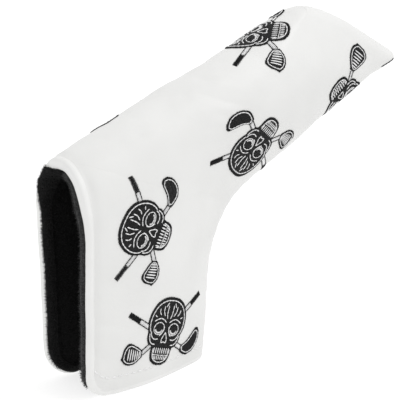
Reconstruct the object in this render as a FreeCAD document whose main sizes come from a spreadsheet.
"""Head cover for a blade putter, in millimetres.

The cover stands on the bottom of its neck. +X runs from the open heel slot to the toe, +Y across
the thickness and +Z up. The origin is the middle of the footprint on the ground.

Every wall is built from one closed form, which is the space inside five long prisms. Each prism
has the same kind of section: a round nose with two straight flanks. The ridge prism closes the top
with a wide arch, the toe prism closes the far end, and the front, crotch and under prisms follow
the seam that joins the two panels. The same form with its sections drawn further in gives the next
layer, so leather, foam and lining are differences of two forms.
"""
import FreeCAD
import Part
import Sketcher
import math
import os

Vector = FreeCAD.Vector
doc = FreeCAD.newDocument("putter_cover")

# ---------------------------------------------------------------- driving dimensions
DIMENSIONS = [
    ("heel_x", -77.75, "plane of the heel opening; every other distance along X is from there"),
    ("ridge_start_z", 93.0, "height of the ridge at the heel opening"),
    ("ridge_slope", 22.5, "rise of the ridge towards the toe, degrees"),
    ("ridge_radius", 20.5, "radius of the arch over the ridge"),
    ("ridge_taper", -2.8, "flanks close towards the ground, degrees"),
    ("seam_radius", 8.0, "radius of the nose along the closing seam"),
    ("neck_taper", 17.0, "flanks open away from the neck's seam, degrees"),
    ("head_taper", 22.0, "flanks open away from the head pocket's seam, degrees"),
    ("front_x", 61.0, "front of the neck at the ground"),
    ("front_slope", 83.3, "rise of the neck's front edge, degrees"),
    ("crotch_x", 74.6, "a point of the crotch's slanting edge"),
    ("crotch_z", 57.6, "height of that point"),
    ("crotch_slope", 56.6, "rise of the crotch's edge, degrees"),
    ("under_x", 83.1, "a point of the head pocket's lower edge"),
    ("under_z", 70.3, "height of that point"),
    ("under_slope", 30.2, "rise of the head pocket's lower edge, degrees"),
    ("toe_x", 112.0, "a point of the toe's edge"),
    ("toe_z", 139.5, "height of that point"),
    ("toe_slope", -28.6, "fall of the toe's edge, degrees"),
    ("prism_half", 220.0, "half the length of each prism"),
    ("prism_depth", 220.0, "depth of each prism's section"),
    ("thread_proud", 0.5, "height of the embroidery over the leather"),
    ("leather_depth", 1.2, "thickness of the leather"),
    ("lip_depth", 3.6, "width of the rolled lip at the heel opening"),
    ("tape_depth", 4.6, "depth at which the seam tape starts"),
    ("foam_depth", 5.2, "depth at which the foam ends"),
    ("lining_depth", 7.2, "depth at which the lining ends"),
    ("lip_length", 3.0, "how far the lip stands out of the heel opening"),
    ("band_length", 2.4, "how far the plush band stands out of the heel opening"),
    ("hem_height", 4.0, "height of the bottom hem"),
    ("fold_z", 72.0, "height at which the flap's fold meets the heel edge"),
    ("fold_x", 50.0, "distance at which the flap's fold meets the ground"),
    ("fold_gap", 1.6, "half the gap between the foam pads at the fold"),
    ("motif_radius", 14.0, "radius of the panel area that one embroidered motif takes"),
    ("tape_half_width", 3.0, "half the width of the seam tape"),
    ("tape_below_ridge", 16.0, "how far under the ridge the seam tape ends"),
    ("magnet_radius", 5.0, "radius of a closing magnet"),
    ("magnet_thickness", 2.0, "thickness of a closing magnet"),
    ("magnet_x", 8.0, "distance of the magnets from the heel opening"),
    ("magnet_low_z", 14.0, "height of the lower magnet"),
    ("magnet_high_z", 34.0, "height of the upper magnet"),
    ("magnet_y", 14.9, "distance of the magnets from the middle plane"),
    ("flank_lean", 2.6, "lean of the neck's wall at the magnets, degrees"),
    ("pouch_width", 13.0, "width of the magnet pouch"),
    ("pouch_height", 34.0, "height of the magnet pouch"),
    ("pouch_thickness", 3.0, "thickness of the magnet pouch"),
    ("reach", 400.0, "size of the boxes that trim the walls"),
]

sheet = doc.addObject("Spreadsheet::Sheet", "sizes")
for row, (alias, value, note) in enumerate(DIMENSIONS, start=1):
    sheet.set(f"A{row}", note)
    sheet.set(f"B{row}", str(value))
    sheet.setAlias(f"B{row}", alias)
doc.recompute()


def size(alias):
    """A driving dimension's value."""
    return float(sheet.get(alias))


def bind(obj, **expressions):
    """Binds properties of an object to cells; a double underscore in a name stands for a dot."""
    for name, expression in expressions.items():
        text = expression
        for alias, _, _ in sorted(DIMENSIONS, key=lambda item: -len(item[0])):
            text = text.replace(f"[{alias}]", f"sizes.{alias}")
        obj.setExpression(name.replace("__", "."), text)


# ---------------------------------------------------------------- the closed form
def origin_plane(body, role):
    """One of the body's own origin planes."""
    return next(f for f in body.Origin.OriginFeatures if f.Role == role)


def nose_profile(sketch, radius, taper, inset):
    """Draws a round nose with two flanks. Its tip is `inset` inside the sketch's origin."""
    nose, slope, cut, depth = size(radius), math.radians(size(taper)), inset[0], size("prism_depth")
    tip_x = nose * (1 - math.sin(slope)) + cut * math.sin(slope)
    tip_y = (nose - cut) * math.cos(slope)
    end_y = tip_y + (depth - tip_x) * math.tan(slope)
    upper = sketch.addGeometry(Part.LineSegment(Vector(tip_x, tip_y, 0), Vector(depth, end_y, 0)), False)
    back = sketch.addGeometry(Part.LineSegment(Vector(depth, end_y, 0), Vector(depth, -end_y, 0)), False)
    lower = sketch.addGeometry(Part.LineSegment(Vector(depth, -end_y, 0), Vector(tip_x, -tip_y, 0)), False)
    circle = Part.Circle(Vector(nose, 0, 0), Vector(0, 0, 1), nose - cut)
    arc = sketch.addGeometry(
        Part.ArcOfCircle(circle, math.pi / 2 + slope, 3 * math.pi / 2 - slope), False
    )
    centre, start, end = 3, 1, 2
    constrain = sketch.addConstraint
    constrain(Sketcher.Constraint("Coincident", upper, end, back, start))
    constrain(Sketcher.Constraint("Coincident", back, end, lower, start))
    constrain(Sketcher.Constraint("Tangent", arc, start, upper, start))
    constrain(Sketcher.Constraint("Tangent", lower, end, arc, end))
    constrain(Sketcher.Constraint("PointOnObject", arc, centre, -1))
    constrain(Sketcher.Constraint("Symmetric", back, start, back, end, -1))
    named = [
        ("centre", Sketcher.Constraint("DistanceX", -1, 1, arc, centre, nose), f"sizes.{radius}"),
        ("nose", Sketcher.Constraint("Radius", arc, nose - cut), f"sizes.{radius} - ({inset[1]})"),
        ("depth", Sketcher.Constraint("DistanceX", -1, 1, back, start, depth), "sizes.prism_depth"),
        ("slope", Sketcher.Constraint("Angle", -1, 1, upper, start, slope), f"sizes.{taper} * 1 deg"),
    ]
    for name, constraint, expression in named:
        index = constrain(constraint)
        sketch.renameConstraint(index, name)
        sketch.setExpression(f"Constraints.{name}", expression)


# Each edge of the form: name, section radius, flank taper, a point on the edge, the direction in
# which the section's depth runs (degrees from +X towards +Z).
EDGES = [
    ("ridge", "ridge_radius", "ridge_taper", "0", "[ridge_start_z]", "[ridge_slope] - 90"),
    ("toe", "seam_radius", "head_taper", "[toe_x]", "[toe_z]", "[toe_slope] - 90"),
    ("under", "seam_radius", "head_taper", "[under_x]", "[under_z]", "[under_slope] + 90"),
    ("crotch", "seam_radius", "neck_taper", "[crotch_x]", "[crotch_z]", "[crotch_slope] + 90"),
    ("front", "seam_radius", "neck_taper", "[front_x]", "0", "[front_slope] + 90"),
]


def edge_prism(edge, level, inset):
    """A PartDesign body: one edge's section, padded both ways along the edge."""
    name, radius, taper, point_x, point_z, direction = edge
    body = doc.addObject("PartDesign::Body", f"{name}_{level}")
    sketch = body.newObject("Sketcher::SketchObject", f"{name}_{level}_section")
    sketch.AttachmentSupport = [(origin_plane(body, "XY_Plane"), "")]
    sketch.MapMode = "FlatFace"
    nose_profile(sketch, radius, taper, inset)
    pad = body.newObject("PartDesign::Pad", f"{name}_{level}_pad")
    pad.Profile = sketch
    pad.Midplane = True
    bind(pad, Length="2 * [prism_half]")
    body.Placement = FreeCAD.Placement(Vector(), FreeCAD.Rotation(Vector(0, 1, 0), 1))
    bind(
        body,
        Placement__Base__x=f"[heel_x] + {point_x}",
        Placement__Base__z=point_z,
        Placement__Rotation__Angle=f"-1 * ({direction})",
    )
    sketch.Visibility = False
    return body


def combine(kind, name, first, second):
    """A Part boolean of two objects."""
    result = doc.addObject(f"Part::{kind}", name)
    result.Base = first
    result.Tool = second
    return result


def closed_form(level, inset):
    """The whole cover as one solid, drawn in by `inset` on every side."""
    prisms = {edge[0]: edge_prism(edge, level, inset) for edge in EDGES}
    lower = combine("Fuse", f"lower_{level}", prisms["front"], prisms["crotch"])
    lower = combine("Fuse", f"sides_{level}", lower, prisms["under"])
    upper = combine("Common", f"upper_{level}", prisms["ridge"], prisms["toe"])
    return combine("Common", f"form_{level}", upper, lower)


LEVELS = {
    "thread": (-size("thread_proud"), "-1 * sizes.thread_proud"),
    "outer": (0.0, "0"),
    "leather": (size("leather_depth"), "sizes.leather_depth"),
    "lip": (size("lip_depth"), "sizes.lip_depth"),
    "tape": (size("tape_depth"), "sizes.tape_depth"),
    "foam": (size("foam_depth"), "sizes.foam_depth"),
    "lining": (size("lining_depth"), "sizes.lining_depth"),
}
forms = {level: closed_form(level, inset) for level, inset in LEVELS.items()}


def layer(name, outside, inside):
    """The wall between two levels of the form."""
    return combine("Cut", name, forms[outside], forms[inside])


leather_layer = layer("leather_layer", "outer", "leather")
foam_layer = layer("foam_layer", "leather", "foam")
lining_layer = layer("lining_layer", "foam", "lining")
lip_layer = layer("lip_layer", "outer", "lip")
band_layer = layer("band_layer", "lip", "lining")
hem_layer = layer("hem_layer", "outer", "lining")
tape_layer = layer("tape_layer", "tape", "foam")
thread_layer = layer("thread_layer", "thread", "outer")


# ---------------------------------------------------------------- the boxes that trim the walls
def box(name, corner, extent):
    """A box from its lowest corner and its three sizes, all given as expressions."""
    result = doc.addObject("Part::Box", name)
    bind(result, Length=extent[0], Width=extent[1], Height=extent[2])
    bind(result, Placement__Base__x=f"[heel_x] + {corner[0]}", Placement__Base__y=corner[1], Placement__Base__z=corner[2])
    return result


FULL, MIDDLE = "[reach]", "-0.5 * [reach]"


def side_of_fold(name, above):
    """A box whose face lies beside the fold line, above it or below it."""
    result = doc.addObject("Part::Box", name)
    bind(result, Length=FULL, Width=FULL, Height=FULL)
    lean = "atan([fold_z] / [fold_x])"
    result.Placement = FreeCAD.Placement(Vector(), FreeCAD.Rotation(Vector(0, 1, 0), 1))
    # The box's own z is the fold's upward normal; its own x runs down along the fold.
    offset = "[fold_gap]" if above else "(-1 * [fold_gap] - [reach])"
    bind(
        result,
        Placement__Rotation__Angle=lean,
        Placement__Base__x=f"[heel_x] + [fold_x] + {offset} * sin({lean}) - 0.5 * [reach] * cos({lean})",
        Placement__Base__y=MIDDLE,
        Placement__Base__z=f"{offset} * cos({lean}) + 0.5 * [reach] * sin({lean})",
    )
    return result


above_fold = side_of_fold("above_fold", True)
below_fold = side_of_fold("below_fold", False)
near_half = box("near_half", (MIDDLE, "-1 * [reach]", MIDDLE), (FULL, FULL, FULL))
far_half = box("far_half", (MIDDLE, "0", MIDDLE), (FULL, FULL, FULL))
near_below = combine("Common", "near_below", below_fold, near_half)
far_below = combine("Common", "far_below", below_fold, far_half)
BODY_SIDES = {"body": above_fold, "near_flap": near_below, "far_flap": far_below}

wall_zone = box("wall_zone", ("0", MIDDLE, "[hem_height]"), (FULL, FULL, FULL))
lip_zone = box("lip_zone", ("-1 * [lip_length]", MIDDLE, "[hem_height]"), ("[lip_length]", FULL, FULL))
band_zone = box("band_zone", ("-1 * [band_length]", MIDDLE, "[hem_height]"), ("[band_length]", FULL, FULL))
hem_zone = box("hem_zone", ("-1 * [band_length]", MIDDLE, "0"), (FULL, FULL, "[hem_height]"))

tape_zone = doc.addObject("Part::Box", "tape_zone")
tape_zone.Placement = FreeCAD.Placement(Vector(), FreeCAD.Rotation(Vector(0, 1, 0), 1))
TAPE_DROP = "([tape_below_ridge] + [reach])"
bind(
    tape_zone,
    Length=FULL,
    Width="2 * [tape_half_width]",
    Height=FULL,
    Placement__Rotation__Angle="-1 * [ridge_slope]",
    Placement__Base__x=f"[heel_x] + {TAPE_DROP} * sin([ridge_slope]) - 0.5 * [reach] * cos([ridge_slope])",
    Placement__Base__y="-1 * [tape_half_width]",
    Placement__Base__z=f"[ridge_start_z] - {TAPE_DROP} * cos([ridge_slope])"
    " - 0.5 * [reach] * sin([ridge_slope])",
)


# ---------------------------------------------------------------- sub-parts
def sub_part(label, shape_object):
    """Names a finished piece. Its label is its file's name."""
    shape_object.Label = label
    return shape_object


def wall_piece(label, wall, side, zone):
    """The share of one wall layer that belongs to one body."""
    trimmed = combine("Common", f"{label}_whole", wall, zone)
    return combine("Common", f"{label}_solid", trimmed, BODY_SIDES[side])


parts = []
for side in BODY_SIDES:
    parts.append(sub_part(f"{side}_leather", wall_piece(f"{side}_leather", leather_layer, side, wall_zone)))
    parts.append(sub_part(f"{side}_lining", wall_piece(f"{side}_lining", lining_layer, side, wall_zone)))
    parts.append(sub_part(f"{side}_lip", wall_piece(f"{side}_lip", lip_layer, side, lip_zone)))
    parts.append(sub_part(f"{side}_plush_band", wall_piece(f"{side}_plush_band", band_layer, side, band_zone)))
    parts.append(sub_part(f"{side}_hem", wall_piece(f"{side}_hem", hem_layer, side, hem_zone)))

seam_tape = combine("Common", "seam_tape_ring", tape_layer, tape_zone)
seam_tape = wall_piece("seam_tape", seam_tape, "body", wall_zone)
parts.append(sub_part("seam_tape", seam_tape))
body_foam = wall_piece("body_foam_full", foam_layer, "body", wall_zone)
parts.append(sub_part("body_foam", combine("Cut", "body_foam_solid", body_foam, seam_tape)))


def magnet(name, height, sign):
    """One disc magnet, flat against the leaning wall of the flap on one side."""
    disc = doc.addObject("Part::Cylinder", name)
    bind(disc, Radius="[magnet_radius]", Height="[magnet_thickness]")
    disc.Placement = FreeCAD.Placement(Vector(), FreeCAD.Rotation(Vector(1, 0, 0), 1))
    middle = "0.5 * ([magnet_low_z] + [magnet_high_z])"
    bind(
        disc,
        Placement__Rotation__Angle=f"90 + {sign} * [flank_lean]",
        Placement__Base__x="[heel_x] + [magnet_x]",
        Placement__Base__y=f"{sign} * ([magnet_y] + ({height} - {middle}) * tan([flank_lean]))"
        " + 0.5 * [magnet_thickness]",
        Placement__Base__z=height,
    )
    return disc


def pouch_block(name, sign):
    """The outer block of a magnet pouch, leaning with the wall."""
    block = doc.addObject("Part::Box", name)
    bind(block, Length="[pouch_width]", Width="[pouch_thickness]", Height="[pouch_height]")
    block.Placement = FreeCAD.Placement(Vector(), FreeCAD.Rotation(Vector(1, 0, 0), 1))
    lean = f"{sign} * -1 * [flank_lean]"
    middle = "0.5 * ([magnet_low_z] + [magnet_high_z])"
    bind(
        block,
        Placement__Rotation__Angle=lean,
        Placement__Base__x="[heel_x] + [magnet_x] - 0.5 * [pouch_width]",
        Placement__Base__y=f"{sign} * [magnet_y] - 0.5 * [pouch_thickness] * cos([flank_lean])"
        f" + 0.5 * [pouch_height] * sin({lean})",
        Placement__Base__z=f"{middle} - 0.5 * [pouch_height] * cos([flank_lean])"
        f" - 0.5 * [pouch_thickness] * sin({lean})",
    )
    return block


for side, sign in (("near_flap", -1), ("far_flap", 1)):
    low = magnet(f"{side}_magnet_low", "[magnet_low_z]", sign)
    high = magnet(f"{side}_magnet_high", "[magnet_high_z]", sign)
    magnets = combine("Fuse", f"{side}_magnet_pair", low, high)
    block = pouch_block(f"{side}_pouch_block", sign)
    foam = wall_piece(f"{side}_foam_full", foam_layer, side, wall_zone)
    parts.append(sub_part(f"{side}_foam", combine("Cut", f"{side}_foam_solid", foam, block)))
    parts.append(sub_part(f"{side}_magnet_pouch", combine("Cut", f"{side}_pouch_solid", block, magnets)))
    parts.append(sub_part(f"{side}_magnets", magnets))

# Middle of each embroidered motif: distance from the heel opening, height, side.
MOTIFS = [
    (33, 22, -1),
    (22, 65, -1),
    (78, 91, -1),
    (92, 122, -1),
    (128, 108, -1),
    (24, 84, 1),
    (36, 34, 1),
    (62, 92, 1),
    (104, 108, 1),
    (134, 114, 1),
]


def motif_disc(number, distance, height, sign):
    """A round cutter through one panel, where a motif is stitched."""
    disc = doc.addObject("Part::Cylinder", f"motif_{number}")
    bind(disc, Radius="[motif_radius]", Height="0.5 * [reach]")
    disc.Placement = FreeCAD.Placement(
        Vector(size("heel_x") + distance, 0, height), FreeCAD.Rotation(Vector(1, 0, 0), -90 * sign)
    )
    return disc


motif_discs = doc.addObject("Part::MultiFuse", "motif_discs")
motif_discs.Shapes = [motif_disc(number, *motif) for number, motif in enumerate(MOTIFS)]
thread_patches = combine("Common", "thread_patches", thread_layer, motif_discs)
for side in BODY_SIDES:
    parts.append(sub_part(f"{side}_embroidery", wall_piece(f"{side}_embroidery", thread_patches, side, wall_zone)))


# ---------------------------------------------------------------- checks and files
doc.recompute()
for item in doc.Objects:
    if "Invalid" in item.State or "Error" in item.State:
        raise RuntimeError(f"{item.Name} failed: {item.State}")

os.makedirs("parts", exist_ok=True)
for part in parts:
    shape = part.Shape
    if shape.isNull() or not shape.isValid() or not shape.Solids:
        raise RuntimeError(f"{part.Label} has no valid solid")
    bounds = shape.BoundBox
    print(
        f"{part.Label:24s} {len(shape.Solids)} solid(s) {shape.Volume:9.0f} mm3"
        f"  x {bounds.XMin:7.1f} {bounds.XMax:7.1f}  y {bounds.YMin:6.1f} {bounds.YMax:6.1f}"
        f"  z {bounds.ZMin:6.1f} {bounds.ZMax:6.1f}"
    )
    shape.exportStep(f"parts/{part.Label}.step")
